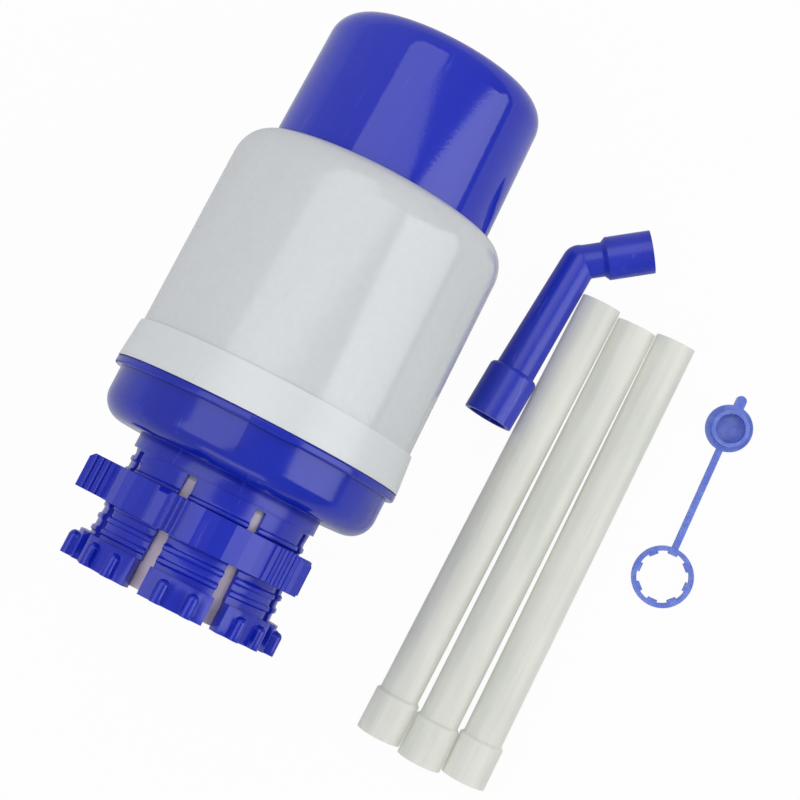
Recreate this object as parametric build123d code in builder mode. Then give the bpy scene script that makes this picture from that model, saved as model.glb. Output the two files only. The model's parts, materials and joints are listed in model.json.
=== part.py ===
"""Water jug hand pump, laid out as a kit: pump, spout, three dip tubes and the spout's dust cap.

The kit lies on a table, z = 0.  +Y runs along the pump towards its press cap and +Z points up.
Sizes are in millimetres.  "Station" means a distance along the pump's axis from the lower rim of
the neck clamp, and an angle round the pump counts from straight up, towards +X.
"""
import os
from math import acos, asin, atan, atan2, cos, degrees, hypot, radians, sin, tan

from build123d import *

os.makedirs("parts", exist_ok=True)

# ---- neck clamp: a ring of slotted fingers that grips a 57 mm bottle neck ----
neck_r = 28.5               # the bottle's
neck_mouth_clearance = 0.4  # of the soft sleeve, over its straight stretch at the mouth
neck_top_clearance = 0.1    # and at the gasket, after a slight taper
neck_grip_length = 8.0
neck_seal_wall = 1.3
neck_seal_lip = 0.9         # a thinner stretch at the sleeve's mouth
neck_seal_lip_height = 5.0
neck_seal_inset = 1.0       # from the rim's edge
seal_clearance = 0.1        # sleeve in the fingers
rim_r = 35.8
rim_height = 9.5
rim_rib_width = 3.9
rim_rib_proud = 2.9
rim_rib_below_top = 1.5
rim_rib_offset = 8.0        # degrees each side of a finger's middle
rim_rib_round = 1.8
lower_thread_height = 11.3  # from the rim to the lock ring as stored
upper_thread_height = 7.9   # from the lock ring to the spacer
finger_r_top = 31.8
finger_r_low = 33.2
spacer_r = 32.6
spacer_height = 4.8
spacer_bore_r = 18.5
slot_count = 8
slot_first_angle = -16.5
slot_below_spacer = 0.8
slot_width_top = 3.5
slot_width_low = 4.9
slot_width_rim = 5.6
mouth_gasket_thick = 2.0
mouth_gasket_inner_r = 20.5

# ---- lock ring ----
lock_ring_height = 12.1
lock_ring_clearance = 0.1
lock_ring_wall = 2.4
lock_ring_flats = 40
wing_count = 5
wing_first_angle = -90.5
wing_tip_r = 44.1
wing_tip_width = 3.5
wing_base_width = 12.0
wing_root = 0.8             # the wings start this far inside the ring's outside
wing_ridge_count = 3        # down each flank of a wing
wing_ridge_r = 0.8
wing_corner = 1.5

# ---- base bowl ----
bowl_r = 48.5
bowl_height = 16.4
bowl_corner_r = 8.5
bowl_wall = 2.3
bowl_floor = 2.5
flange_proud = 2.4          # of the bowl
flange_thick = 2.9
flange_edge = 0.8
ledge_r = 42.6
upstand_height = 7.0
upstand_wall = 2.0
upstand_clearance = 0.15
hub_r = 10.6
hub_skirt = 8.0             # below the bowl's floor
stem_bore_r = 5.2
spigot_r = 7.0
spigot_bore_r = 5.0
spigot_reach = 15.0         # beyond the bowl's wall
spigot_collar = 0.4         # the thicker root, beyond the flange
spigot_chamfer = 0.8
duct_r = 8.0
duct_in_floor = 0.3
air_port_r = 2.0
air_port_circle_r = 14.5
air_port_count = 6
boss_r = 3.4
boss_count = 4
boss_circle_r = 38.6
boss_first_angle = 7.0

# ---- valve deck, gasket, bellows' clamp ring and screws ----
deck_thick = 2.6
deck_clearance = 0.15
delivery_port_circle_r = 21.0
gasket_thick = 1.2
gasket_width = 1.7
clamp_ring_thick = 3.4
clamp_ring_inner_r = 31.0
clamp_ring_outer_r = 42.6
screw_r = 1.5
screw_head_r = 2.8
screw_head_height = 1.8
screw_clearance = 0.1       # through a hole that the screw passes
screw_bite = 0.02           # round a screw in the hole that holds it
deck_screw_length = 14.0
neck_screw_length = 7.0
neck_screw_circle_r = 27.0
neck_screw_count = 4
neck_screw_first_angle = 30.0

# ---- housing ----
housing_wall = 2.2
housing_height = 74.5       # from the band to the mouth
housing_draft = 0.5
band_height = 13.3
band_proud = 0.1            # of the bowl's flange
band_draft = 1.2
band_step = 0.9             # from the band's top edge in to the shell
shoulder_length = 11.0      # along the axis
mouth_rim = 0.6             # the flat ring round the mouth
mouth_clearance = 0.3
mouth_lip_wall = 1.8
mouth_round = 0.5
guide_sleeve_height = 12.0

# ---- press cap ----
cap_exposed = 49.8
cap_top_r = 38.1
cap_skirt_flare = 1.2
cap_skirt_height = 8.0
cap_corner_r = 10.0
cap_wall = 2.2
cap_lip_clearance = 0.4
cap_lip_thick = 2.4
cap_lip_gap = 0.3
cap_boss_r = 3.4
cap_boss_height = 4.0
cap_boss_count = 3
cap_boss_circle_r = 19.0
cap_boss_first_angle = 0.0
cap_screw_length = 5.8

# ---- guide plate, bellows and valves ----
guide_plate_r = 33.5
guide_plate_thick = 2.4
guide_collar_r = 27.0
guide_collar_wall = 1.8
guide_collar_height = 6.0
bellows_clearance = 0.1
bellows_wall = 1.0
bellows_fold_depth = 4.6
bellows_foot_r = 35.0
bellows_foot_thick = 2.0
bellows_foot_clearance = 0.1
bellows_folds = 9
valve_port_r = 5.0
valve_r = 7.0
valve_thick = 1.2
valve_lift = 1.5
valve_gap = 0.1
cage_wall = 1.2
cage_clearance = 0.1
cage_window_r = 1.7
cage_window_circle_r = 4.4
cage_window_count = 5

# ---- dip stem and its seal ----
stem_r = 7.25
stem_root_r = 7.6           # in the bowl's hub
stem_root_below = 1.0       # the step, below the hub's skirt
stem_clearance = 0.05
stem_inner_r = 5.7
stem_length = 40.0
stem_chamfer = 0.7
o_ring_section_r = 0.9
o_ring_gap = 0.05
o_ring_above_skirt = 2.6

# ---- spout ----
spout_socket_r = 9.05
spout_socket_length = 19.0
spout_socket_bore_r = 7.1
spout_socket_depth = 15.0
spout_shoulder_r = 1.8
spout_leg = 64.0            # from the socket's mouth to the bend
spout_leg_low_r = 7.2
spout_leg_top_r = 6.4
spout_bore_r = 4.4
spout_bend = 51.1           # degrees
spout_arm = 25.8            # from the bend to the nozzle's mouth
spout_arm_r = 6.15
nozzle_r = 7.7
nozzle_length = 16.0
nozzle_cone = 1.6
nozzle_bore_r = 6.75
nozzle_depth = 12.0

# ---- dip tubes ----
tube_count = 3
tube_length = 171.5
tube_r = 7.25
tube_bore_r = 6.2
tube_socket_r = 8.25
tube_socket_length = 15.3
tube_socket_depth = 14.5
tube_socket_clearance = 0.05
tube_socket_cone = 1.0

# ---- dust cap: a lid on a strap from a toothed ring, one soft moulding ----
lid_r = 8.5
lid_thick = 1.6
lid_floor = 1.0
plug_clearance = 0.1
plug_wall = 1.35
plug_height = 3.4
tab_width = 3.8
tab_reach = 4.0
strap_width = 2.4
strap_thick = 1.5
ring_r = 11.1
ring_wall = 1.7
ring_height = 2.4
tooth_count = 8
tooth_width = 3.3
tooth_depth = 1.0

# ---- general ----
overlap = 1.0               # how far a shape runs into or past what it joins or cuts
rounding_share = 0.95       # the most of its room that a rounding takes

# ---- how the kit lies, seen from above; x from the pump's axis, y from the clamp's rim ----
pump_tilt = 5.6             # degrees, cap end down
tube_first_x = 84.5
tube_first_heading = 0.45   # degrees from +Y towards +X
tube_gap = 0.3
tube_end_y = [-15.6, -17.4, -16.0]
spout_gap = 0.3             # between the leaning spout and the first tube
spout_bend_ahead = 9.3      # beyond the first tube's plain end
spout_heading = 4.0         # degrees from +Y towards +X
spout_lean = 5.0            # degrees, socket end up, resting on the first tube's flank
dust_ring_x = 149.6
dust_ring_y = 79.5
dust_strap_heading = -2.7   # degrees from +Y towards +X
dust_cap_pitch = 57.9       # from the ring's centre to the lid's

# ---- stations along the pump ----
lock_ring_low = rim_height + lower_thread_height
lock_ring_top = lock_ring_low + lock_ring_height
spacer_low = lock_ring_top + upper_thread_height
bowl_low = spacer_low + spacer_height
flange_low = bowl_low + bowl_height
band_low = flange_low + flange_thick
band_top = band_low + band_height
mouth = band_top + housing_height
cap_top = mouth + cap_exposed
floor_top = bowl_low + bowl_floor
hub_low = bowl_low - hub_skirt
spigot_station = floor_top - duct_in_floor + duct_r
hub_top = spigot_station + duct_r
stem_top = spigot_station - spigot_bore_r - duct_in_floor
deck_low = band_low + gasket_thick
deck_top = deck_low + deck_thick
foot_top = deck_top + bellows_foot_thick
clamp_ring_top = deck_top + clamp_ring_thick
sleeve_low = mouth - guide_sleeve_height
cap_lip_top = sleeve_low - cap_lip_gap
cap_low = cap_lip_top - cap_lip_thick
cap_ceiling = cap_top - cap_wall
guide_top = cap_ceiling - cap_boss_height
guide_low = guide_top - guide_plate_thick
collar_low = guide_low - guide_collar_height
shoulder_station = mouth - shoulder_length
slot_top = spacer_low - slot_below_spacer

# ---- radii that follow from others ----
neck_bore_r = neck_r + neck_mouth_clearance
seal_outer_r = neck_bore_r + neck_seal_wall
finger_inner_r = seal_outer_r + seal_clearance
finger_slope = (finger_r_low - finger_r_top) / (spacer_low - rim_height)
lock_bore_r = finger_r_low - finger_slope * lower_thread_height + lock_ring_clearance
lock_ring_r = lock_bore_r + lock_ring_wall
flange_r = bowl_r + flange_proud
band_low_r = flange_r + band_proud
band_top_r = band_low_r - band_draft
housing_low_r = band_top_r - band_step
housing_top_r = housing_low_r - housing_draft
housing_bore_r = housing_top_r - housing_wall
cap_skirt_r = cap_top_r + cap_skirt_flare
mouth_r = cap_skirt_r + mouth_clearance
shoulder_depth = housing_top_r - mouth_r - mouth_rim
upstand_r = housing_bore_r - upstand_clearance
deck_r = upstand_r - upstand_wall - deck_clearance
spigot_tip_r = bowl_r + spigot_reach
cap_lip_r = housing_bore_r - cap_lip_clearance
bellows_bore_r = guide_collar_r + bellows_clearance
tube_socket_bore_r = tube_r + tube_socket_clearance
plug_r = nozzle_bore_r - plug_clearance
plug_bore_r = plug_r - plug_wall

# ---- the pump lies on its shoulder and on the tip of its outlet spigot ----
tilt = radians(pump_tilt)
shoulder_centre_r = housing_top_r - shoulder_depth
shoulder_drop = hypot(shoulder_length * sin(tilt), shoulder_depth * cos(tilt))
pump_z = shoulder_station * sin(tilt) + shoulder_centre_r * cos(tilt) + shoulder_drop
spigot_axis_z = pump_z - spigot_station * sin(tilt)
spigot_fall = spigot_tip_r * cos(tilt)
spigot_roll = atan2(spigot_r, spigot_fall) + acos(spigot_axis_z / hypot(spigot_fall, spigot_r))
spigot_angle = 180 - degrees(spigot_roll)

# ---- the kit's outline on the table, and the shift that centres it on the origin ----
kit_left = -band_low_r
kit_right = dust_ring_x + ring_r
kit_front = min(tube_end_y)
cap_corner_station = cap_top - cap_corner_r
kit_back = cap_corner_station * cos(tilt) + (cap_top_r - cap_corner_r) * sin(tilt) + cap_corner_r
pump_x = -(kit_left + kit_right) / 2
pump_y = -(kit_front + kit_back) / 2

pump = Plane(
    origin=(pump_x, pump_y, pump_z),
    x_dir=(0, sin(tilt), cos(tilt)),
    z_dir=(0, cos(tilt), -sin(tilt)),
)
pump_axis = Axis(pump.origin, pump.z_dir)


def profile_plane(angle=0):
    """A plane that holds the pump's axis: x outwards at an angle round it, y along it."""
    outward = pump.x_dir.rotate(pump_axis, angle)
    return Plane(origin=pump.origin, x_dir=outward, z_dir=outward.cross(pump.z_dir))


def side_plane(angle, radius=0):
    """The pump's side seen from outside at an angle round it: y along the axis, z outwards."""
    outward = pump.x_dir.rotate(pump_axis, angle)
    return Plane(
        origin=pump.origin + outward * radius,
        x_dir=pump.z_dir.cross(outward),
        z_dir=outward,
    )


def finish(piece, name):
    """Label one finished piece and write it to its file."""
    piece.part.label = name
    export_step(piece.part, f"parts/{name}.step")


def corner(sketch, x, y):
    """The corner of a sketch's outline at a point."""
    return sketch.vertices().sort_by_distance((x, y))[0]


# ---------------------------------------------------------------- neck clamp
with BuildPart() as rim_rib:
    with BuildSketch(side_plane(0, rim_r - overlap)):
        rib_arch = rim_height - rim_rib_below_top - rim_rib_width / 2
        with Locations((0, rib_arch / 2)):
            Rectangle(rim_rib_width, rib_arch)
        with Locations((0, rib_arch)):
            Circle(rim_rib_width / 2)
    extrude(amount=rim_rib_proud + overlap)
    rib_face = rim_rib.faces().sort_by(Axis(pump.origin, pump.x_dir))[-1]
    fillet(rib_face.edges().sort_by(pump_axis)[1:], rim_rib_round)

with BuildPart() as neck_clamp:
    with BuildSketch(profile_plane()):
        with BuildLine():
            Polyline(
                (finger_inner_r, 0),
                (rim_r, 0),
                (rim_r, rim_height),
                (finger_r_low, rim_height),
                (finger_r_top, spacer_low),
                (spacer_r, bowl_low),
                (spacer_bore_r, bowl_low),
                (spacer_bore_r, spacer_low),
                (finger_inner_r, spacer_low),
                close=True,
            )
        make_face()
    revolve(axis=pump_axis)
    slot_step = 360 / slot_count
    finger_middles = [slot_first_angle + (n + 0.5) * slot_step for n in range(slot_count)]
    rib_angles = [middle + side * rim_rib_offset for middle in finger_middles for side in (-1, 1)]
    add([rim_rib.part.rotate(pump_axis, angle) for angle in rib_angles])
    for slot in range(slot_count):
        slot_angle = slot_first_angle + slot * slot_step
        with BuildSketch(side_plane(slot_angle, finger_inner_r - overlap)):
            with BuildLine():
                Polyline(
                    (slot_width_rim / 2, -overlap),
                    (slot_width_rim / 2, rim_height),
                    (slot_width_low / 2, rim_height),
                    (slot_width_top / 2, slot_top),
                    (-slot_width_top / 2, slot_top),
                    (-slot_width_low / 2, rim_height),
                    (-slot_width_rim / 2, rim_height),
                    (-slot_width_rim / 2, -overlap),
                    close=True,
                )
            make_face()
        extrude(amount=rim_r, mode=Mode.SUBTRACT)
    with BuildSketch(pump.offset(spacer_low)):
        with PolarLocations(neck_screw_circle_r, neck_screw_count, neck_screw_first_angle):
            Circle(screw_r + screw_bite)
    extrude(amount=spacer_height, mode=Mode.SUBTRACT)
finish(neck_clamp, "neck_clamp")

with BuildPart() as neck_seal:
    with BuildSketch(profile_plane()):
        with BuildLine():
            Polyline(
                (neck_bore_r, neck_seal_inset),
                (neck_bore_r + neck_seal_lip, neck_seal_inset),
                (neck_bore_r + neck_seal_lip, neck_seal_inset + neck_seal_lip_height),
                (seal_outer_r, neck_seal_inset + neck_seal_lip_height),
                (seal_outer_r, spacer_low - mouth_gasket_thick),
                (neck_r + neck_top_clearance, spacer_low - mouth_gasket_thick),
                (neck_bore_r, neck_seal_inset + neck_grip_length),
                close=True,
            )
        make_face()
    revolve(axis=pump_axis)
finish(neck_seal, "neck_seal")

with BuildPart() as mouth_gasket:
    with BuildSketch(pump.offset(spacer_low)):
        Circle(seal_outer_r)
        Circle(mouth_gasket_inner_r, mode=Mode.SUBTRACT)
    extrude(amount=-mouth_gasket_thick)
finish(mouth_gasket, "mouth_gasket")

# ---------------------------------------------------------------- lock ring
with BuildPart() as lock_ring:
    with BuildSketch(pump.offset(lock_ring_low)):
        RegularPolygon(lock_ring_r, lock_ring_flats, rotation=wing_first_angle)
        with PolarLocations(0, wing_count, wing_first_angle):
            wing_base = lock_ring_r - wing_root
            Polygon(
                (wing_base, -wing_base_width / 2),
                (wing_tip_r, -wing_tip_width / 2),
                (wing_tip_r, wing_tip_width / 2),
                (wing_base, wing_base_width / 2),
                align=None,
            )
            for ridge in range(wing_ridge_count):
                share = (ridge + 1) / (wing_ridge_count + 1)
                ridge_x = wing_base + share * (wing_tip_r - wing_base)
                ridge_y = wing_base_width / 2 + share * (wing_tip_width - wing_base_width) / 2
                with Locations((ridge_x, ridge_y), (ridge_x, -ridge_y)):
                    Circle(wing_ridge_r)
        Circle(lock_bore_r, mode=Mode.SUBTRACT)
    extrude(amount=lock_ring_height)
    with BuildSketch(profile_plane()):
        with BuildLine():
            Polyline(
                (wing_tip_r - wing_corner, lock_ring_top),
                (wing_tip_r + wing_corner, lock_ring_top),
                (wing_tip_r + wing_corner, lock_ring_top - 2 * wing_corner),
                close=True,
            )
        make_face()
    revolve(axis=pump_axis, mode=Mode.SUBTRACT)
finish(lock_ring, "lock_ring")

# ---------------------------------------------------------------- base bowl
with BuildPart() as base_bowl:
    with BuildSketch(profile_plane()) as bowl_outline:
        with BuildLine():
            Polyline(
                (0, bowl_low),
                (bowl_r, bowl_low),
                (bowl_r, flange_low),
                (flange_r, flange_low),
                (flange_r, band_low),
                (upstand_r, band_low),
                (upstand_r, band_low + upstand_height),
                (upstand_r - upstand_wall, band_low + upstand_height),
                (upstand_r - upstand_wall, band_low),
                (ledge_r, band_low),
                (ledge_r, flange_low),
                (bowl_r - bowl_wall, flange_low),
                (bowl_r - bowl_wall, floor_top),
                (0, floor_top),
                close=True,
            )
        make_face()
        fillet(corner(bowl_outline, bowl_r, bowl_low), bowl_corner_r)
        fillet(corner(bowl_outline, bowl_r - bowl_wall, floor_top), bowl_corner_r - bowl_wall)
        fillet(corner(bowl_outline, flange_r, flange_low), flange_edge)
        fillet(corner(bowl_outline, flange_r, band_low), flange_edge)
    revolve(axis=pump_axis)
    with BuildSketch(pump.offset(hub_low)):
        Circle(hub_r)
    extrude(amount=hub_top - hub_low)
    with BuildSketch(pump.offset(floor_top)):
        with PolarLocations(boss_circle_r, boss_count, boss_first_angle):
            Circle(boss_r)
    extrude(amount=deck_low - floor_top)
    with BuildSketch(profile_plane(spigot_angle)) as spigot_outline:
        with Locations((0, spigot_station)):
            Rectangle(flange_r + spigot_collar, duct_r, align=Align.MIN)
            Rectangle(spigot_tip_r, spigot_r, align=Align.MIN)
        chamfer(corner(spigot_outline, spigot_tip_r, spigot_station + spigot_r), spigot_chamfer)
    revolve(axis=Axis(pump.offset(spigot_station).origin, profile_plane(spigot_angle).x_dir))
    with BuildSketch(side_plane(spigot_angle)):
        with Locations((0, spigot_station)):
            Circle(spigot_bore_r)
    extrude(amount=spigot_tip_r, mode=Mode.SUBTRACT)
    with BuildSketch(pump.offset(hub_low)):
        Circle(stem_root_r + stem_clearance)
    extrude(amount=stem_top - hub_low, mode=Mode.SUBTRACT)
    with BuildSketch(pump.offset(stem_top)):
        Circle(stem_bore_r)
    extrude(amount=spigot_station - stem_top, mode=Mode.SUBTRACT)
    groove_r = stem_root_r + 2 * (o_ring_section_r + o_ring_gap)
    groove_low = hub_low + o_ring_above_skirt - o_ring_section_r - o_ring_gap
    with BuildSketch(pump.offset(groove_low)):
        Circle(groove_r)
    extrude(amount=2 * (o_ring_section_r + o_ring_gap), mode=Mode.SUBTRACT)
    with BuildSketch(pump.offset(bowl_low)):
        with PolarLocations(air_port_circle_r, air_port_count, spigot_angle + 180 / air_port_count):
            Circle(air_port_r)
        with PolarLocations(neck_screw_circle_r, neck_screw_count, neck_screw_first_angle):
            Circle(screw_r + screw_clearance)
    extrude(amount=bowl_floor + duct_in_floor, mode=Mode.SUBTRACT)
    with BuildSketch(pump.offset(deck_low)):
        with PolarLocations(boss_circle_r, boss_count, boss_first_angle):
            Circle(screw_r + screw_bite)
    extrude(amount=-deck_screw_length, mode=Mode.SUBTRACT)
finish(base_bowl, "base_bowl")


def pan_head_screws(plane, circle_r, count, first_angle, length):
    """A ring of pan-head screws, their heads' seats on the plane and their shanks below it."""
    with BuildPart() as screws:
        with BuildSketch(plane):
            with PolarLocations(circle_r, count, first_angle):
                Circle(screw_head_r)
        extrude(amount=screw_head_height)
        with BuildSketch(plane):
            with PolarLocations(circle_r, count, first_angle):
                Circle(screw_r)
        extrude(amount=-length)
    return screws


neck_screws = pan_head_screws(
    pump.offset(floor_top),
    neck_screw_circle_r,
    neck_screw_count,
    neck_screw_first_angle,
    neck_screw_length,
)
finish(neck_screws, "neck_screws")

with BuildPart() as dip_stem:
    with BuildSketch(profile_plane()) as stem_outline:
        with Locations((stem_inner_r, stem_top - stem_length)):
            Rectangle(stem_r - stem_inner_r, stem_length, align=Align.MIN)
        root_low = hub_low - stem_root_below
        with Locations((stem_inner_r, root_low)):
            Rectangle(stem_root_r - stem_inner_r, stem_top - root_low, align=Align.MIN)
        chamfer(corner(stem_outline, stem_r, stem_top - stem_length), stem_chamfer)
    revolve(axis=pump_axis)
finish(dip_stem, "dip_stem")

with BuildPart() as stem_o_ring:
    with BuildSketch(profile_plane()):
        ring_r_mid = stem_root_r + o_ring_gap + o_ring_section_r
        with Locations((ring_r_mid, hub_low + o_ring_above_skirt)):
            Circle(o_ring_section_r)
    revolve(axis=pump_axis)
finish(stem_o_ring, "stem_o_ring")

# ---------------------------------------------------------------- valve deck
with BuildPart() as base_gasket:
    with BuildSketch(pump.offset(band_low)):
        Circle(deck_r)
        Circle(deck_r - gasket_width, mode=Mode.SUBTRACT)
    extrude(amount=gasket_thick)
finish(base_gasket, "base_gasket")

port_outward = pump.x_dir.rotate(pump_axis, spigot_angle + 180)
delivery_origin = pump.offset(deck_low).origin + port_outward * delivery_port_circle_r
delivery_seat = Plane(origin=delivery_origin, x_dir=port_outward, z_dir=pump.z_dir * -1)
inlet_seat = Plane(
    origin=pump.offset(guide_low).origin, x_dir=pump.x_dir, z_dir=pump.z_dir * -1
)

with BuildPart() as valve_deck:
    with BuildSketch(pump.offset(deck_low)):
        Circle(deck_r)
        with PolarLocations(boss_circle_r, boss_count, boss_first_angle):
            Circle(screw_r + screw_clearance, mode=Mode.SUBTRACT)
    extrude(amount=deck_thick)
    with BuildSketch(delivery_seat):
        Circle(valve_port_r)
    extrude(amount=-deck_thick, mode=Mode.SUBTRACT)
finish(valve_deck, "valve_deck")


def valve_cage(seat):
    """A basket under a valve seat, with a floor of round windows that the disc drops on."""
    bore_r = valve_r + cage_clearance
    room = valve_gap + valve_thick + valve_lift + valve_gap
    with BuildPart() as cage:
        with BuildSketch(seat):
            Circle(bore_r + cage_wall)
        extrude(amount=room + cage_wall)
        with BuildSketch(seat):
            Circle(bore_r)
        extrude(amount=room, mode=Mode.SUBTRACT)
        with BuildSketch(seat.offset(room)):
            with PolarLocations(cage_window_circle_r, cage_window_count):
                Circle(cage_window_r)
        extrude(amount=cage_wall, mode=Mode.SUBTRACT)
    return cage


def valve_disc(seat):
    """A rubber disc that closes the port over it and drops off it to open."""
    with BuildPart() as disc:
        with BuildSketch(seat.offset(valve_gap)):
            Circle(valve_r)
        extrude(amount=valve_thick)
    return disc


finish(valve_cage(delivery_seat), "delivery_valve_cage")
finish(valve_disc(delivery_seat), "delivery_valve_disc")
finish(valve_cage(inlet_seat), "inlet_valve_cage")
finish(valve_disc(inlet_seat), "inlet_valve_disc")

with BuildPart() as bellows_clamp_ring:
    foot_room = bellows_foot_thick + bellows_foot_clearance
    with BuildSketch(pump.offset(deck_top)):
        Circle(clamp_ring_outer_r)
        with PolarLocations(boss_circle_r, boss_count, boss_first_angle):
            Circle(screw_r + screw_clearance, mode=Mode.SUBTRACT)
    extrude(amount=clamp_ring_thick)
    with BuildSketch(pump.offset(deck_top)):
        Circle(bellows_foot_r + bellows_foot_clearance)
    extrude(amount=foot_room, mode=Mode.SUBTRACT)
    with BuildSketch(pump.offset(deck_top)):
        Circle(clamp_ring_inner_r)
    extrude(amount=clamp_ring_thick, mode=Mode.SUBTRACT)
finish(bellows_clamp_ring, "bellows_clamp_ring")

deck_screws = pan_head_screws(
    pump.offset(clamp_ring_top),
    boss_circle_r,
    boss_count,
    boss_first_angle,
    deck_screw_length,
)
finish(deck_screws, "deck_screws")

# ---------------------------------------------------------------- bellows
fold_low = clamp_ring_top + bellows_clearance
fold_pitch = (collar_low - fold_low) / bellows_folds
fold_angle = atan(bellows_fold_depth / (fold_pitch / 2))
fold_wall = bellows_wall / cos(fold_angle)


def bellows_line(first_r):
    """The folds' corners from the foot up, starting at a root radius."""
    corners = []
    for fold in range(bellows_folds):
        fold_start = fold_low + fold * fold_pitch
        corners.append((first_r, fold_start))
        corners.append((first_r + bellows_fold_depth, fold_start + fold_pitch / 2))
    corners.append((first_r, collar_low))
    return corners


with BuildPart() as bellows:
    with BuildSketch(profile_plane()):
        with BuildLine():
            Polyline(
                (bellows_bore_r, deck_top),
                (bellows_foot_r, deck_top),
                (bellows_foot_r, foot_top),
                (bellows_bore_r + fold_wall, foot_top),
                *bellows_line(bellows_bore_r + fold_wall),
                (bellows_bore_r + fold_wall, guide_low - bellows_clearance),
                (bellows_bore_r, guide_low - bellows_clearance),
                *reversed(bellows_line(bellows_bore_r)),
                close=True,
            )
        make_face()
    revolve(axis=pump_axis)
finish(bellows, "bellows")

# ---------------------------------------------------------------- housing
with BuildPart() as housing:
    with BuildSketch(profile_plane()) as housing_outline:
        ceiling = mouth - housing_wall
        lip_outer_r = mouth_r + mouth_lip_wall
        inner_length = shoulder_length - housing_wall
        inner_depth = rounding_share * (housing_bore_r - lip_outer_r)
        inner_station = ceiling - inner_length
        inner_centre_r = housing_bore_r - inner_depth
        with BuildLine():
            Polyline(
                (housing_bore_r, inner_station),
                (housing_bore_r, band_low),
                (band_low_r, band_low),
                (band_top_r, band_top),
                (housing_low_r, band_top),
                (housing_top_r, shoulder_station),
            )
            EllipticalCenterArc(
                (shoulder_centre_r, shoulder_station), shoulder_depth, shoulder_length, arc_size=90
            )
            Polyline(
                (shoulder_centre_r, mouth),
                (mouth_r, mouth),
                (mouth_r, sleeve_low),
                (lip_outer_r, sleeve_low),
                (lip_outer_r, ceiling),
                (inner_centre_r, ceiling),
            )
            EllipticalCenterArc(
                (inner_centre_r, inner_station), inner_depth, inner_length, arc_size=90
            )
        make_face()
        mouth_limit = rounding_share * mouth_rim
        fillet(corner(housing_outline, mouth_r, mouth), min(mouth_round, mouth_limit))
    revolve(axis=pump_axis)
finish(housing, "housing")

# ---------------------------------------------------------------- press cap and guide plate
with BuildPart() as press_cap:
    skirt_top = cap_low + cap_skirt_height
    with BuildSketch(profile_plane()) as cap_outline:
        with BuildLine():
            Polyline(
                (0, cap_top),
                (cap_top_r, cap_top),
                (cap_skirt_r, skirt_top),
                (cap_skirt_r, cap_lip_top),
                (cap_lip_r, cap_lip_top),
                (cap_lip_r, cap_low),
                (cap_skirt_r - cap_wall, cap_low),
                (cap_skirt_r - cap_wall, skirt_top),
                (cap_top_r - cap_wall, cap_ceiling),
                (0, cap_ceiling),
                close=True,
            )
        make_face()
        fillet(corner(cap_outline, cap_top_r, cap_top), cap_corner_r)
        fillet(corner(cap_outline, cap_top_r - cap_wall, cap_ceiling), cap_corner_r - cap_wall)
    revolve(axis=pump_axis)
    with BuildSketch(pump.offset(guide_top)):
        with PolarLocations(cap_boss_circle_r, cap_boss_count, cap_boss_first_angle):
            Circle(cap_boss_r)
    extrude(amount=cap_boss_height)
    with BuildSketch(pump.offset(guide_top)):
        with PolarLocations(cap_boss_circle_r, cap_boss_count, cap_boss_first_angle):
            Circle(screw_r + screw_bite)
    extrude(amount=cap_screw_length - guide_plate_thick, mode=Mode.SUBTRACT)
finish(press_cap, "press_cap")

with BuildPart() as guide_plate:
    with BuildSketch(pump.offset(guide_low)):
        Circle(guide_plate_r)
        Circle(valve_port_r, mode=Mode.SUBTRACT)
        with PolarLocations(cap_boss_circle_r, cap_boss_count, cap_boss_first_angle):
            Circle(screw_r + screw_clearance, mode=Mode.SUBTRACT)
    extrude(amount=guide_plate_thick)
    with BuildSketch(pump.offset(collar_low)):
        Circle(guide_collar_r)
        Circle(guide_collar_r - guide_collar_wall, mode=Mode.SUBTRACT)
    extrude(amount=guide_collar_height)
finish(guide_plate, "guide_plate")

cap_screws = pan_head_screws(
    inlet_seat,
    cap_boss_circle_r,
    cap_boss_count,
    cap_boss_first_angle,
    cap_screw_length,
)
finish(cap_screws, "cap_screws")

# ---------------------------------------------------------------- spout
lean = radians(spout_lean)
bend = radians(spout_bend)
heading = radians(spout_heading)
leg_up = Vector(sin(heading) * cos(lean), cos(heading) * cos(lean), -sin(lean))
leg_side = Vector(cos(heading), -sin(heading), 0)
arm_rise = (nozzle_r - spout_leg_top_r) / spout_arm
spout_roll = asin((arm_rise + cos(bend) * sin(lean)) / (sin(bend) * cos(lean)))
arm_side = leg_side * cos(spout_roll) + leg_side.cross(leg_up) * sin(spout_roll)
arm_up = leg_up * cos(bend) + arm_side * sin(bend)

# the leg's flank touches the first tube beside its plain end
touch_r = spout_leg_top_r + (spout_leg_low_r - spout_leg_top_r) * spout_bend_ahead / spout_leg
tube_tip_x = tube_first_x + tube_length * sin(radians(tube_first_heading))
spout_bend_x = tube_tip_x - (tube_r + spout_gap + touch_r) / cos(heading)
spout_bend_x += spout_bend_ahead * tan(heading)
spout_bend_y = tube_end_y[0] + tube_length + spout_bend_ahead
bend_point = Vector(pump_x + spout_bend_x, pump_y + spout_bend_y, spout_leg_top_r)
socket_mouth = bend_point - leg_up * spout_leg
leg_profile = Plane(origin=socket_mouth, x_dir=arm_side, z_dir=arm_side.cross(leg_up))
arm_normal = arm_side.cross(leg_up)
arm_profile = Plane(origin=bend_point, x_dir=arm_up.cross(arm_normal), z_dir=arm_normal)
leg_axis = Axis(socket_mouth, leg_up)
arm_axis = Axis(bend_point, arm_up)

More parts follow.
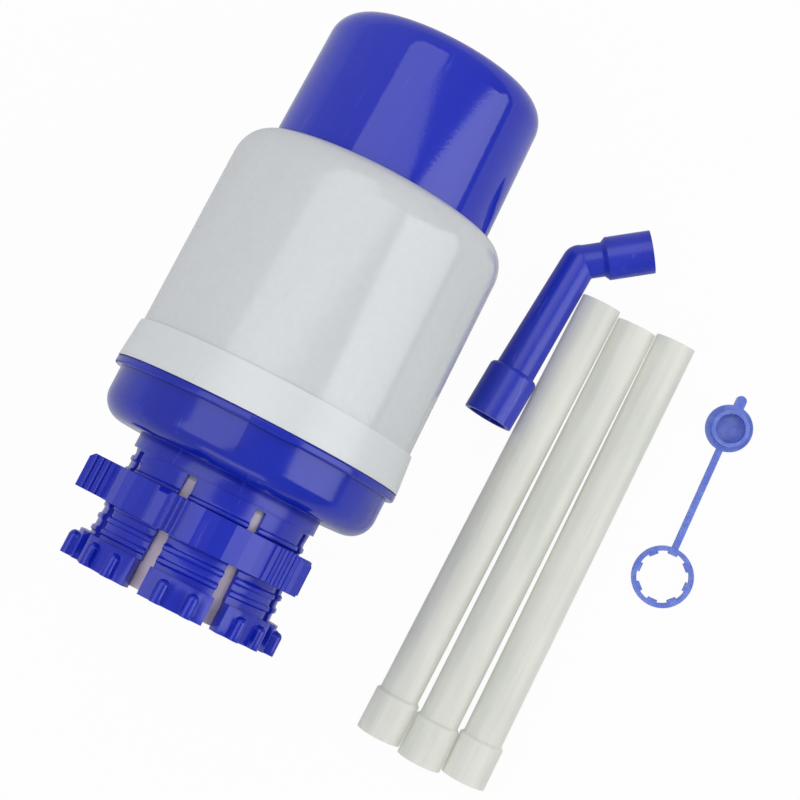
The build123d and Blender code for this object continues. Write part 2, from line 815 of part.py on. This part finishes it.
with BuildPart() as spout:
    with BuildSketch(leg_profile) as leg_outline:
        with BuildLine():
            Polyline(
                (0, 0),
                (spout_socket_r, 0),
                (spout_socket_r, spout_socket_length),
                (spout_leg_low_r, spout_socket_length),
                (spout_leg_top_r, spout_leg),
                (0, spout_leg),
                close=True,
            )
        make_face()
        shoulder_limit = rounding_share * (spout_socket_r - spout_leg_low_r)
        socket_shoulder = corner(leg_outline, spout_socket_r, spout_socket_length)
        fillet(socket_shoulder, min(spout_shoulder_r, shoulder_limit))
    revolve(axis=leg_axis)
    with BuildSketch(arm_profile):
        with BuildLine():
            Polyline(
                (0, 0),
                (spout_arm_r, 0),
                (spout_arm_r, spout_arm - nozzle_length - nozzle_cone),
                (nozzle_r, spout_arm - nozzle_length),
                (nozzle_r, spout_arm),
                (0, spout_arm),
                close=True,
            )
        make_face()
    revolve(axis=arm_axis)
    with Locations(bend_point):
        Sphere(spout_leg_top_r)
    with BuildSketch(leg_profile):
        with Locations((0, 0)):
            Rectangle(spout_socket_bore_r, spout_socket_depth, align=Align.MIN)
            Rectangle(spout_bore_r, spout_leg, align=Align.MIN)
    revolve(axis=leg_axis, mode=Mode.SUBTRACT)
    with BuildSketch(arm_profile):
        Rectangle(spout_bore_r, spout_arm, align=Align.MIN)
        with Locations((0, spout_arm - nozzle_depth)):
            Rectangle(nozzle_bore_r, nozzle_depth, align=Align.MIN)
    revolve(axis=arm_axis, mode=Mode.SUBTRACT)
    with Locations(bend_point):
        Sphere(spout_bore_r, mode=Mode.SUBTRACT)
finish(spout, "spout")

# ---------------------------------------------------------------- dip tubes
tube_fan = asin((tube_socket_r - tube_r) * 2 / tube_length)
tube_fall = asin((tube_socket_r - tube_r) / (tube_length - tube_socket_length))
for index in range(tube_count):
    fan = index * tube_fan - radians(tube_first_heading)
    along = Vector(-sin(fan) * cos(tube_fall), cos(fan) * cos(tube_fall), -sin(tube_fall))
    socket_x = pump_x + tube_first_x + index * (2 * tube_socket_r + tube_gap)
    socket_y = pump_y + tube_end_y[index]
    socket_z = tube_socket_r * cos(tube_fall) + tube_socket_length * sin(tube_fall)
    tube_end = Plane(origin=(socket_x, socket_y, socket_z), x_dir=(0, 0, 1), z_dir=along)
    tube_profile = Plane(
        origin=tube_end.origin, x_dir=tube_end.x_dir, z_dir=tube_end.x_dir.cross(tube_end.z_dir)
    )
    with BuildPart() as dip_tube:
        with BuildSketch(tube_profile):
            with BuildLine():
                Polyline(
                    (tube_socket_bore_r, 0),
                    (tube_socket_r, 0),
                    (tube_socket_r, tube_socket_length),
                    (tube_r, tube_socket_length + tube_socket_cone),
                    (tube_r, tube_length),
                    (tube_bore_r, tube_length),
                    (tube_bore_r, tube_socket_depth),
                    (tube_socket_bore_r, tube_socket_depth),
                    close=True,
                )
            make_face()
        revolve(axis=Axis(tube_end.origin, tube_end.z_dir))
    finish(dip_tube, f"dip_tube_{index + 1}")

# ---------------------------------------------------------------- dust cap
strap_heading = radians(dust_strap_heading)
dust_cap_base = Plane(
    origin=(pump_x + dust_ring_x, pump_y + dust_ring_y, 0),
    x_dir=(sin(strap_heading), cos(strap_heading), 0),
    z_dir=(0, 0, 1),
)
lid_base = Plane(
    origin=dust_cap_base.origin + dust_cap_base.x_dir * dust_cap_pitch,
    x_dir=dust_cap_base.x_dir,
    z_dir=(0, 0, 1),
)

with BuildPart() as dust_cap:
    with BuildSketch(dust_cap_base):
        Circle(ring_r)
        Circle(ring_r - ring_wall, mode=Mode.SUBTRACT)
        tooth_length = tooth_depth + ring_wall / 2
        with PolarLocations(ring_r - ring_wall / 2 - tooth_length / 2, tooth_count):
            Rectangle(tooth_length, tooth_width)
    extrude(amount=ring_height)
    with BuildSketch(dust_cap_base):
        strap_start = ring_r - ring_wall / 2
        with Locations((strap_start, 0)):
            strap_length = dust_cap_pitch - strap_start - lid_r / 2
            Rectangle(strap_length, strap_width, align=(Align.MIN, Align.CENTER))
    extrude(amount=strap_thick)
    with BuildSketch(lid_base):
        Circle(lid_r)
        with Locations((lid_r, 0)):
            Rectangle(2 * tab_reach - tab_width, tab_width)
        with Locations((lid_r + tab_reach - tab_width / 2, 0)):
            Circle(tab_width / 2)
    extrude(amount=lid_thick)
    with BuildSketch(lid_base.offset(lid_thick)):
        Circle(plug_r)
    extrude(amount=plug_height)
    with BuildSketch(lid_base.offset(lid_floor)):
        Circle(plug_bore_r)
    extrude(amount=lid_thick + plug_height - lid_floor, mode=Mode.SUBTRACT)
finish(dust_cap, "dust_cap")
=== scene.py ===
"""Looks of the water jug hand pump and its loose spout, dip tubes and dust cap, in metres."""
import json
from math import atan2, cos, pi, radians, sin

import bpy
from mathutils import Matrix, Vector


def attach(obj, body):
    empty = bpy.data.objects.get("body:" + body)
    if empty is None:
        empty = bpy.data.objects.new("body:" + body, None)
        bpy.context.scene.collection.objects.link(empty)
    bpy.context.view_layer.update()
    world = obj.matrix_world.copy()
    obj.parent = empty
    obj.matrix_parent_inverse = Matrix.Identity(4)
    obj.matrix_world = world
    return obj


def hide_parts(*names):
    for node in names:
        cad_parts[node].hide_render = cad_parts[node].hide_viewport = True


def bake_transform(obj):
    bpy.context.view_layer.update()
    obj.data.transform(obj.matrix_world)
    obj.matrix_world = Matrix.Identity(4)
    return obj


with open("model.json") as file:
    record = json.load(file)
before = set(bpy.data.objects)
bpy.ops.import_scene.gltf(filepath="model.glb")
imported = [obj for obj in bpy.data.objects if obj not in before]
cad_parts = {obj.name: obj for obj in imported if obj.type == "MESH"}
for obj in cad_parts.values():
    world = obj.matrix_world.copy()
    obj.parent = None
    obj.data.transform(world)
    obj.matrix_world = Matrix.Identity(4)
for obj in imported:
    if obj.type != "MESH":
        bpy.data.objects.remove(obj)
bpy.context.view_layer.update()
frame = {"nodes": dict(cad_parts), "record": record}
nodes = frame["nodes"]

MM = 0.001

# ---------------------------------------------------------------- how the pump lies
# A station is a distance along the pump's axis from the neck clamp's rim towards the press cap.
finger_low_station, finger_low_r = 9.5 * MM, 33.2 * MM
finger_top_station, finger_top_r = 40.8 * MM, 31.8 * MM
spacer_top_station, spacer_r = 45.6 * MM, 32.75 * MM
band_top_station = 78.2 * MM
cap_top_station = 202.5 * MM

palm_face = next(m for m in frame["record"]["mounts"] if m["name"] == "palm_face")
pump_along = Vector(palm_face["axis"])
pump_side = Vector((1, 0, 0))
pump_up = pump_side.cross(pump_along)
pump_rim = Vector(palm_face["pos_m"]) - pump_along * cap_top_station
pump_place = Matrix(
    (
        (pump_up.x, pump_side.x, pump_along.x, pump_rim.x),
        (pump_up.y, pump_side.y, pump_along.y, pump_rim.y),
        (pump_up.z, pump_side.z, pump_along.z, pump_rim.z),
        (0, 0, 0, 1),
    )
)


# ---------------------------------------------------------------- shader helpers
class Wire:
    """A number that a node gives out. Arithmetic on it adds the Math nodes."""

    def __init__(self, paint, socket):
        self.paint = paint
        self.socket = socket

    def maths(self, operation, *values):
        return self.paint.node("ShaderNodeMath", {"operation": operation}, dict(enumerate(values)))

    def __add__(self, other):
        return self.maths("ADD", self, other)

    def __radd__(self, other):
        return self.maths("ADD", other, self)

    def __sub__(self, other):
        return self.maths("SUBTRACT", self, other)

    def __rsub__(self, other):
        return self.maths("SUBTRACT", other, self)

    def __mul__(self, other):
        return self.maths("MULTIPLY", self, other)

    def larger(self, other):
        return self.maths("MAXIMUM", self, other)

    def smaller(self, other):
        return self.maths("MINIMUM", self, other)


class Paint:
    """The nodes of one material, world or lamp, made by one method."""

    def __init__(self, owner):
        self.owner = owner
        owner.use_nodes = True
        self.tree = owner.node_tree
        self.tree.nodes.clear()

    def node(self, kind, settings, inputs, output=0):
        """Adds a node: its settings by name, its inputs by name or place, and one output or None."""
        made = self.tree.nodes.new(kind)
        for key, value in settings.items():
            setattr(made, key, value)
        for key, value in inputs.items():
            if isinstance(value, Wire):
                self.tree.links.new(value.socket, made.inputs[key])
            else:
                made.inputs[key].default_value = value
        return None if output is None else Wire(self, made.outputs[output])

    def band(self, value, low, high):
        """0 below low and 1 above high; with low above high, 1 below high and 0 above low."""
        inputs = {"Value": value, "From Min": low, "From Max": high}
        settings = {"clamp": True, "interpolation_type": "SMOOTHSTEP"}
        return self.node("ShaderNodeMapRange", settings, inputs)

    def parted(self, vector):
        """The x, y and z of a vector."""
        return [self.node("ShaderNodeSeparateXYZ", {}, {"Vector": vector}, way) for way in range(3)]


class Finish(Paint):
    """A procedural material of one shader on Object coordinates."""

    def __init__(self, name):
        super().__init__(bpy.data.materials.new(name))
        self.place = self.node("ShaderNodeTexCoord", {}, {}, "Object")

    def stretched(self, size, turn=(0, 0, 0)):
        """Object coordinates, squeezed by a size for each way."""
        inputs = {"Vector": self.place, "Scale": size, "Rotation": turn}
        return self.node("ShaderNodeMapping", {"vector_type": "POINT"}, inputs)

    def cloud(self, scale, detail, roughness=0.5, where=None):
        """Noise from 0 to 1."""
        inputs = {
            "Vector": where or self.place, "Scale": scale, "Detail": detail, "Roughness": roughness,
        }
        return self.node("ShaderNodeTexNoise", {}, inputs)

    def mixed(self, share, first, second):
        """One colour turning into another; 0, 6 and 7 are the node's colour inputs, 2 its output."""
        inputs = {0: share, 6: first, 7: second}
        return self.node("ShaderNodeMix", {"data_type": "RGBA"}, inputs, 2)

    def relief(self, height, depth):
        """A bump of a depth in metres."""
        return self.node("ShaderNodeBump", {}, {"Height": height, "Distance": depth, "Strength": 1.0})

    def station(self):
        """The distance along the pump from its rim, in metres."""
        inputs = {0: self.place, 1: tuple(pump_along)}
        reach = self.node("ShaderNodeVectorMath", {"operation": "DOT_PRODUCT"}, inputs, 1)
        return reach - pump_rim.dot(pump_along)

    def surface(self, **inputs):
        """The shader; underscores in the names stand for spaces."""
        named = {key.replace("_", " "): value for key, value in inputs.items()}
        shader = self.node("ShaderNodeBsdfPrincipled", {}, named)
        self.node("ShaderNodeOutputMaterial", {}, {"Surface": shader}, None)
        return self.owner


def linear(red, green, blue):
    """A linear colour from sRGB numbers of 0 to 255."""
    shares = [c / 255 for c in (red, green, blue)]
    return tuple(c / 12.92 if c <= 0.04045 else ((c + 0.055) / 1.055) ** 2.4 for c in shares) + (1,)


# ---------------------------------------------------------------- finishes
band_blur = 0.2 * MM           # either side of the housing band's upper border


def gloss_blue(name, colour, deep, roughness, worn_share=0.05):
    """Deep blue moulded plastic: glossy, with flow clouds, an orange-peel skin and faint rubs."""
    paint = Finish(name)
    flow = paint.cloud(scale=38, detail=3, where=paint.stretched((1, 0.35, 1)))
    peel = paint.cloud(scale=900, detail=1)
    rubbed = paint.stretched((1, 0.08, 1), turn=(0, 0, 0.5))
    rubs = paint.band(paint.cloud(scale=260, detail=4, roughness=0.7, where=rubbed), low=0.6, high=0.72)
    tint = paint.mixed(paint.band(flow, low=0.3, high=0.7), deep, colour)
    return paint.surface(
        Base_Color=paint.mixed(rubs * worn_share, tint, linear(150, 160, 215)),
        Roughness=roughness + flow * 0.03 + rubs * 0.10,
        Normal=paint.relief(peel * 0.3 + flow * 0.8, depth=0.03 * MM),
        IOR=1.5,
    )


def housing_shell():
    """Cool grey-white shell, smooth and a little cloudy, with thin scuffs and a duller band; the band's
    paler colour is painted light, standing in for its different shading.
    """
    paint = Finish("housing_shell")
    cloud = paint.cloud(scale=30, detail=3, where=paint.stretched((1, 0.3, 1)))
    mottle = paint.cloud(scale=420, detail=2, roughness=0.6)
    grain = paint.cloud(scale=1400, detail=1)
    scuffed = paint.stretched((1, 0.05, 1), turn=(0.2, 0, 0.35))
    scuffs = paint.band(paint.cloud(scale=210, detail=5, roughness=0.75, where=scuffed), low=0.64, high=0.7)
    band = paint.band(paint.station(), low=band_top_station + band_blur, high=band_top_station - band_blur)
    tones = paint.band(cloud * 0.6 + mottle * 0.4, low=0.3, high=0.7)
    tint = paint.mixed(tones, linear(203, 207, 211), linear(210, 213, 216))
    # painted light: the band has the shell's own colour, painted paler here to stand in for its different
    # shading
    band_painted_paler = paint.mixed(tones, linear(211, 216, 219), linear(216, 220, 222))
    return paint.surface(
        Base_Color=paint.mixed(scuffs * 0.22, paint.mixed(band, tint, band_painted_paler), linear(172, 174, 172)),
        Roughness=0.12 + cloud * 0.04 + scuffs * 0.12 + band * 0.14,
        Normal=paint.relief(grain * 0.25 + cloud * 1.5, depth=0.04 * MM),
        IOR=1.58,
        Subsurface_Weight=0.1,
        Subsurface_Radius=(4 * MM, 4 * MM, 4.2 * MM),
        Subsurface_Scale=1.0,
    )


def milky_tube():
    """Milky drawn tube with draw lines and clouding; its faint glow is painted light, in place of the light
    a milky tube lets through, that lifts the shade on its sides and between the tubes.
    """
    paint = Finish("milky_tube")
    lines = paint.cloud(scale=1, detail=3, roughness=0.6, where=paint.stretched((900, 6, 900)))
    cloud = paint.cloud(scale=1, detail=3, where=paint.stretched((140, 22, 140)))
    tones = paint.band(cloud + lines * 0.4, low=0.45, high=0.95)
    tint = paint.mixed(tones, linear(197, 200, 192), linear(211, 211, 203))
    return paint.surface(
        Base_Color=tint,
        Roughness=0.33 + lines * 0.12,
        Normal=paint.relief(lines, depth=0.05 * MM),
        IOR=1.49,
        Subsurface_Weight=0.35,
        Subsurface_Radius=(6 * MM, 6 * MM, 5.5 * MM),
        Subsurface_Scale=1.0,
        # painted light: the tube glows faintly in its own tint, lifting its shaded sides
        Emission_Color=tint,
        Emission_Strength=0.16,
    )


def soft_blue():
    """Soft, half see-through blue moulding."""
    paint = Finish("soft_blue")
    cloud = paint.cloud(scale=300, detail=3)
    grain = paint.cloud(scale=2500, detail=1)
    tones = paint.band(cloud, low=0.35, high=0.65)
    return paint.surface(
        Base_Color=paint.mixed(tones, linear(97, 117, 205), linear(115, 135, 215)),
        Roughness=0.38 + grain * 0.12,
        Normal=paint.relief(grain * 0.4 + cloud, depth=0.08 * MM),
        IOR=1.48,
        Subsurface_Weight=0.3,
        Subsurface_Radius=(1 * MM, 1.5 * MM, 4 * MM),
        Subsurface_Scale=1.0,
    )


def moulded(name, colour, dark, roughness):
    """Plain moulding or rubber: two near tones and a fine skin."""
    paint = Finish(name)
    grain = paint.cloud(scale=700, detail=2)
    cloud = paint.cloud(scale=60, detail=3)
    return paint.surface(
        Base_Color=paint.mixed(paint.band(cloud, low=0.3, high=0.7), dark, colour),
        Roughness=roughness + grain * 0.15,
        Normal=paint.relief(grain, depth=0.05 * MM),
        IOR=1.48,
    )


def plated_steel():
    """Zinc-plated screw steel with turning marks."""
    paint = Finish("plated_steel")
    marks = paint.cloud(scale=1, detail=3, roughness=0.6, where=paint.stretched((3000, 400, 3000)))
    return paint.surface(
        Base_Color=paint.mixed(marks, linear(160, 162, 165), linear(205, 206, 208)),
        Metallic=1.0,
        Roughness=0.25 + marks * 0.2,
        Normal=paint.relief(marks, depth=0.02 * MM),
    )


cap_blue = gloss_blue("cap_blue", linear(34, 48, 185), linear(28, 42, 178), 0.05)
bowl_blue = gloss_blue("bowl_blue", linear(18, 40, 174), linear(10, 30, 160), 0.13)
spout_blue = gloss_blue("spout_blue", linear(36, 54, 192), linear(26, 42, 178), 0.26, worn_share=0.3)
clamp_blue = gloss_blue("clamp_blue", linear(20, 40, 184), linear(12, 32, 170), 0.20)
shell = housing_shell()
tube = milky_tube()
cap_soft = soft_blue()
sleeve = moulded("soft_sleeve", linear(196, 184, 196), linear(184, 172, 184), 0.5)
rubber_grey = moulded("grey_rubber", linear(150, 152, 156), linear(140, 142, 146), 0.6)
rubber_black = moulded("black_rubber", linear(38, 38, 40), linear(28, 28, 30), 0.6)
inner = moulded("inner_moulding", linear(214, 216, 214), linear(206, 208, 206), 0.45)
milky = moulded("milky_bellows", linear(205, 210, 204), linear(196, 201, 195), 0.4)
steel = plated_steel()

finishes = {
    "press_cap": cap_blue, "base_bowl": bowl_blue, "spout": spout_blue, "lock_ring": clamp_blue,
    "neck_clamp": clamp_blue, "housing": shell, "neck_seal": sleeve, "mouth_gasket": rubber_grey,
    "delivery_valve_disc": rubber_grey, "inlet_valve_disc": rubber_grey, "stem_o_ring": rubber_black,
    "base_gasket": rubber_black, "neck_screws": steel, "deck_screws": steel, "cap_screws": steel,
    "dip_stem": inner, "valve_deck": inner, "delivery_valve_cage": inner, "inlet_valve_cage": inner,
    "bellows_clamp_ring": inner, "guide_plate": inner, "bellows": milky, "dip_tube_1": tube,
    "dip_tube_2": tube, "dip_tube_3": tube, "dust_cap": cap_soft,
}
for name, finish in finishes.items():
    for place in nodes[name].material_slots:
        place.material = finish


# ---------------------------------------------------------------- modelling helpers
weld_gap = 0.002 * MM          # between points that a copied solid has in one place
flat_angle = radians(0.6)      # under which neighbouring faces are one flat face


def alone(piece):
    """Selects one object and makes it the one being worked on."""
    bpy.ops.object.select_all(action="DESELECT")
    piece.select_set(True)
    bpy.context.view_layer.objects.active = piece


def changed(piece, kind, **settings):
    """Adds a modifier and applies it."""
    alone(piece)
    bpy.ops.object.modifier_add(type=kind)
    modifier = piece.modifiers[-1]
    for key, value in settings.items():
        setattr(modifier, key, value)
    bpy.ops.object.modifier_apply(modifier=modifier.name)


def edit(piece):
    """Opens a piece's mesh with everything in it selected."""
    alone(piece)
    bpy.ops.object.mode_set(mode="EDIT")
    bpy.ops.mesh.select_all(action="SELECT")


def done():
    """Closes the mesh that edit opened."""
    bpy.ops.object.mode_set(mode="OBJECT")


def solid_copy(node, name):
    """A copy of a CAD node as one joined mesh, its flat faces whole."""
    piece = nodes[node].copy()
    piece.data = nodes[node].data.copy()
    piece.name = name
    piece.parent = None
    for key in [k for k in piece.keys() if k.startswith("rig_")]:
        del piece[key]
    bpy.context.scene.collection.objects.link(piece)
    edit(piece)
    bpy.ops.mesh.remove_doubles(threshold=weld_gap)
    bpy.ops.mesh.customdata_custom_splitnormals_clear()
    bpy.ops.mesh.dissolve_limited(angle_limit=flat_angle)
    done()
    return piece


def edges_eased(piece, width, angle):
    """Rounds the edges that are sharper than an angle in degrees."""
    changed(piece, "BEVEL", width=width, segments=2, limit_method="ANGLE",
            angle_limit=radians(angle), use_clamp_overlap=True)


def shaded(piece, angle):
    """Shades a piece smooth across edges that are gentler than an angle in degrees."""
    alone(piece)
    bpy.ops.object.shade_smooth_by_angle(angle=radians(angle))


def eased(share):
    """0 to 1 with a soft start and end."""
    share = min(1, max(0, share))
    return share * share * (3 - 2 * share)


# ---------------------------------------------------------------- the fingers' thread and the spacer
thread_pitch = 4.25 * MM
thread_depth = 0.7 * MM
thread_first = 8.54 * MM       # the lowest groove's station, in the slot where the helix leaves the rim
thread_first_turn = radians(-157.5)
thread_turns = 7.25            # the first has no ridge below it, and the last none above
thread_half = 2.0 * MM         # from a groove's middle to its cutter's side
groove_flat = 0.95 * MM        # from a groove's middle to the foot of its flank
groove_flank = 0.65 * MM       # the flank's width, along the pump
open_steps = 6                 # over which the first turn closes and the last one opens
crest_lift = 0.05 * MM         # of the cutter over a ridge, clear of it
plain_depth = 0.2 * MM         # of the plain stretch at the spacer
turn_steps = 60
rim_points = 32                # round the cutter's section
cutter_reach = 1.2 * MM        # beyond the fingers' outside
end_gap = 0.05 * MM            # between the open turns and the rim or the spacer
band_wall = 2.0 * MM
band_steps = 120


def groove_cutter():
    """A helical bar that leaves a rounded ridge between its turns. Its first turn takes all that is
    below it down to the rim, and its last turn all that is above it up to the spacer."""
    bpy.ops.object.select_all(action="DESELECT")
    bpy.ops.mesh.primitive_circle_add(vertices=rim_points, radius=1.0, fill_type="NOTHING")
    bar = bpy.context.object
    sides = []
    for point in bar.data.vertices:
        turn = atan2(point.co.y, point.co.x)
        along, inside = thread_half * sin(turn), cos(turn) < 0.01
        sides.append((along, inside))
        point.co = Vector((finger_low_r + (0 if inside else cutter_reach), 0, thread_first + along))
    steps = round(turn_steps * thread_turns)
    changed(bar, "SCREW", axis="Z", angle=2 * pi * thread_turns, screw_offset=thread_pitch * thread_turns,
            iterations=1, steps=steps, render_steps=steps, use_smooth_shade=False)
    slope = (finger_top_r - finger_low_r) / (finger_top_station - finger_low_station)
    floor_station, ceiling_station = finger_low_station + end_gap, finger_top_station - 2 * end_gap
    for point in bar.data.vertices:
        step, place = divmod(point.index, rim_points)
        along, inside = sides[place]
        middle = thread_first + thread_pitch * step / turn_steps
        low_open = eased((turn_steps - step) / open_steps)
        high_open = eased((step - steps + turn_steps) / open_steps)
        low_end = middle - thread_half
        low_end = max(floor_station, low_end + (floor_station - low_end) * low_open)
        high_end = middle + thread_half
        high_end += (ceiling_station - high_end) * high_open
        station = low_end + (high_end - low_end) * (along / thread_half + 1) / 2
        offset = station - middle
        climb = eased((abs(offset) - groove_flat) / groove_flank)
        dip = (thread_depth + crest_lift) * (1 - climb) - crest_lift
        if offset > 0:
            open_dip = thread_depth + (plain_depth - thread_depth) * offset / (high_end - middle)
            dip += (open_dip - dip) * high_open
        else:
            dip += (thread_depth - dip) * low_open
        radius = finger_low_r + slope * (station - finger_low_station) + (-dip if inside else cutter_reach)
        turn = atan2(point.co.y, point.co.x)
        point.co = Vector((radius * cos(turn), radius * sin(turn), station))
    edit(bar)
    bpy.ops.mesh.fill_holes(sides=0)
    bpy.ops.mesh.normals_make_consistent(inside=False)
    done()
    bar.data.transform(pump_place @ Matrix.Rotation(thread_first_turn, 4, "Z"))
    return bar


def spacer_band():
    """A plain ring that gives the spacer its step over the fingers."""
    bpy.ops.object.select_all(action="DESELECT")
    bpy.ops.mesh.primitive_circle_add(vertices=4, radius=1.0, fill_type="NOTHING")
    band = bpy.context.object
    for point in band.data.vertices:
        out = point.co.x + point.co.y > 0
        high = point.co.y > point.co.x
        station = (spacer_top_station if high else finger_top_station) - end_gap
        point.co = Vector((spacer_r if out else spacer_r - band_wall, 0, station))
    changed(band, "SCREW", axis="Z", angle=2 * pi, screw_offset=0, iterations=1, steps=band_steps,
            render_steps=band_steps, use_merge_vertices=True, merge_threshold=0.001 * MM,
            use_smooth_shade=False)
    edit(band)
    bpy.ops.mesh.normals_make_consistent(inside=False)
    done()
    band.data.transform(pump_place)
    return band


clamp = solid_copy("neck_clamp", "neck_clamp_threaded")
for made, operation in ((groove_cutter(), "DIFFERENCE"), (spacer_band(), "UNION")):
    changed(clamp, "BOOLEAN", operation=operation, object=made, solver="EXACT")
    bpy.data.objects.remove(made)
edges_eased(clamp, width=0.3 * MM, angle=40)
shaded(clamp, angle=35)
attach(clamp, "pump_body")
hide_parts("neck_clamp")

# ---------------------------------------------------------------- the lock ring's eased edges
ring = solid_copy("lock_ring", "lock_ring_eased")
edges_eased(ring, width=0.35 * MM, angle=25)
shaded(ring, angle=8)
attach(ring, "lock_ring")
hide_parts("lock_ring")

# ---------------------------------------------------------------- the bellows, as a copy shaded smooth; the real one closes under the cap
bellows = solid_copy("bellows", "bellows_closing")
shaded(bellows, angle=35)
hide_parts("bellows")
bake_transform(bellows)

# ---------------------------------------------------------------- floor and surroundings
floor_size = 6.0
floor_grey = 0.6               # as the floor lights the pieces
floor_seen = 0.97              # share of plain white that the camera sees
floor_mirrored = 0.25          # and that reflections and see-through plastic show
world_left, world_right = 0.62, 0.26   # brightness of the surroundings

white = Finish("studio_white")
bare = white.node("ShaderNodeBsdfDiffuse", {}, {"Color": (floor_grey, floor_grey, floor_grey, 1)})
glow = white.node("ShaderNodeEmission", {}, {"Color": (1, 1, 1, 1), "Strength": 1.0})
straight, glossy, through = [white.node("ShaderNodeLightPath", {}, {}, f"Is {ray} Ray")
                             for ray in ("Camera", "Glossy", "Transmission")]
glowing = straight * floor_seen + (glossy + through) * floor_mirrored
both = white.node("ShaderNodeMixShader", {}, {0: glowing, 1: bare, 2: glow})
white.node("ShaderNodeOutputMaterial", {}, {"Surface": both}, None)

bpy.ops.object.select_all(action="DESELECT")
bpy.ops.mesh.primitive_plane_add(size=floor_size)
floor = bpy.context.object
floor.name = "floor"
floor.data.materials.append(white.owner)

air = Paint(bpy.data.worlds.new("studio"))
bpy.context.scene.world = air.owner
side = air.parted(air.node("ShaderNodeTexCoord", {}, {}, "Generated"))[0]
looked_at = air.node("ShaderNodeLightPath", {}, {}, "Is Camera Ray")
plain = air.band(side, 1.0, -1.0) * (world_left - world_right) + world_right
strength = looked_at + (1 - looked_at) * plain
sky = air.node("ShaderNodeBackground", {}, {"Color": (1, 1, 1, 1), "Strength": strength})
air.node("ShaderNodeOutputWorld", {}, {"Surface": sky}, None)

# ---------------------------------------------------------------- lamps
# A lamp lies on a plane at a distance from its target, turned round it. Places on that plane are in
# metres across (to the right) and along (towards the press cap) from the target's line.
lamp_target = Vector((-0.05, 0.0, 0.05))
lamp_distance = 1.4
softness = 0.02                # of a mask's borders


def softbox(name, angle, centre, size, radiance, outline=None, pitch=0.0):
    """A rectangular lamp facing the target, turned from straight up towards +X by an angle and
    towards -Y by a pitch, both in degrees. Its outline masks it."""
    bpy.ops.object.select_all(action="DESELECT")
    bpy.ops.object.light_add(type="AREA")
    lamp = bpy.context.object
    lamp.name = name
    lamp.data.shape = "RECTANGLE"
    lamp.data.size, lamp.data.size_y = size
    lamp.data.energy = radiance * pi * size[0] * size[1]
    turned = Matrix.Rotation(radians(angle), 4, "Y") @ Matrix.Rotation(radians(pitch), 4, "X")
    placed = Matrix.Translation((*centre, lamp_distance))
    lamp.matrix_world = Matrix.Translation(lamp_target) @ turned @ placed
    if outline:
        cut = Paint(lamp.data)
        share = cut.parted(cut.node("ShaderNodeNewGeometry", {}, {}, "Parametric"))
        across = (share[0] - 0.5) * size[0] + centre[0]
        along = (share[1] - 0.5) * size[1] + centre[1]
        inputs = {"Color": (1, 1, 1, 1), "Strength": outline(cut, across, along)}
        light = cut.node("ShaderNodeEmission", {}, inputs)
        cut.node("ShaderNodeOutputLight", {}, {"Surface": light}, None)


def above(cut, value, border):
    """1 where a value is above a border of the mask, and 0 below it."""
    return cut.band(value, border - softness, border + softness)


def below(cut, value, border):
    """1 where a value is below a border of the mask, and 0 above it."""
    return cut.band(value, border + softness, border - softness)


def left_outline(cut, across, along):
    """A slanted left border, and an arm that reaches to the right at the far end."""
    arm_slope, arm_border, arm_end = 0.435, 0.044, 0.55
    body_slope, body_border, body_end = 0.18, 0.30, 0.70
    near_slope, near_border = 0.26, -0.77
    far_slope, far_border, far_limit = 0.65, -0.89, 0.7
    body = below(cut, across - along * body_slope, body_border)
    arm = above(cut, along - across * arm_slope, arm_border)
    near_left = above(cut, across - along * near_slope, near_border)
    far_left = above(cut, across - along.smaller(far_limit) * far_slope, far_border)
    ends = below(cut, along, body_end).larger(below(cut, across, arm_end))
    return body.larger(arm) * near_left * far_left * ends


def right_outline(cut, across, along):
    """A left border that steps out towards the far end, a slanted far end and a fading right side."""
    near_border, far_slope, far_border = -0.73, 0.685, -0.616
    step_place, step_length = 0.16, 0.04
    end_slope, end_border = 0.6, 0.60
    full, fade, fade_from, fade_to = 1.1, 0.3, -0.1, 0.6
    near_part = above(cut, across, near_border) * cut.band(along, step_place + step_length, step_place)
    far_left = above(cut, across + along * far_slope, far_border)
    far_part = far_left * cut.band(along, step_place - step_length, step_place)
    end = below(cut, along - across.larger(0.0) * end_slope, end_border)
    return near_part.larger(far_part) * end * (full - cut.band(across, fade_from, fade_to) * fade)


softbox("left_softbox", angle=-18, centre=(0.16, 0.37), size=(2.26, 2.66), radiance=1.32,
        outline=left_outline)
softbox("right_softbox", angle=66, centre=(-0.285, 0.3), size=(1.47, 1.56), radiance=2.1,
        outline=right_outline)
softbox("low_strip", angle=0, pitch=70, centre=(-0.05, 0.0), size=(0.9, 0.42), radiance=1.2)

# ---------------------------------------------------------------- camera: straight above, turned
camera_place = (-0.01705, -0.0002, 0.703)
camera_turn = radians(26.95)

bpy.ops.object.select_all(action="DESELECT")
bpy.ops.object.camera_add(location=camera_place, rotation=(0, 0, camera_turn))
camera = bpy.context.object
camera.data.lens = 88.7
camera.data.sensor_width = 36
camera.data.clip_start = 0.01
bpy.context.scene.camera = camera
bpy.context.scene.view_settings.view_transform = "Standard"
